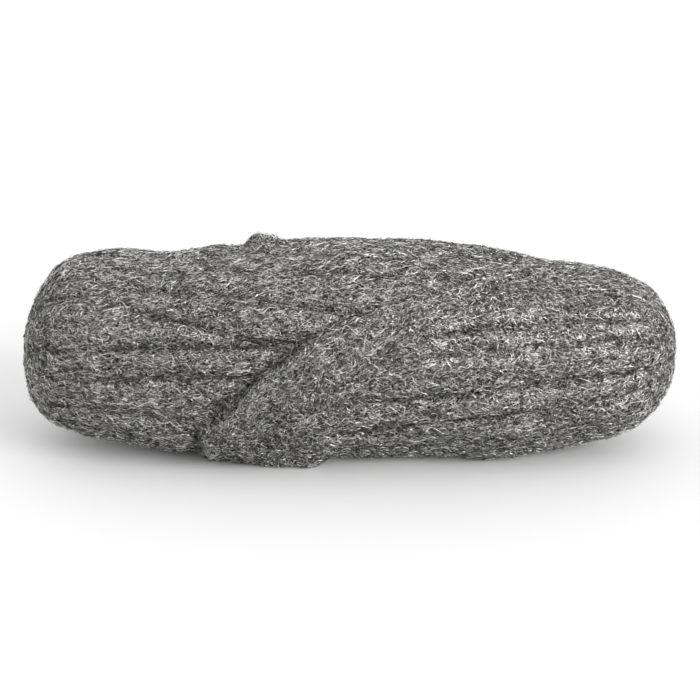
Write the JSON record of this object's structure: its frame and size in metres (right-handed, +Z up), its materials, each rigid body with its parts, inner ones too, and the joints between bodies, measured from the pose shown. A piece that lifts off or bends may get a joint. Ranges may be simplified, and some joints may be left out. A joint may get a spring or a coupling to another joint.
{
  "type": "steel wool bundle",
  "caption": "Long rounded hank of grey steel wool: one folded ribbon of fine steel fibre, its last turn wrapped round the waist.",
  "frame": {"origin": "middle of the hank's footprint, at the surface that it lies on", "axes": "+X along the hank, towards the end that the wrap comes from; -Y is the front, where the wrap slants down; +Z up"},
  "size_m": [0.6514, 0.2328, 0.2131],
  "materials": {
    "steel_wool": "matted fine curled fibre, dull grey with bright single strands"
  },
  "bodies": {
    "root": {"steel_wool_bundle": "steel_wool"}
  },
  "joints": []
}
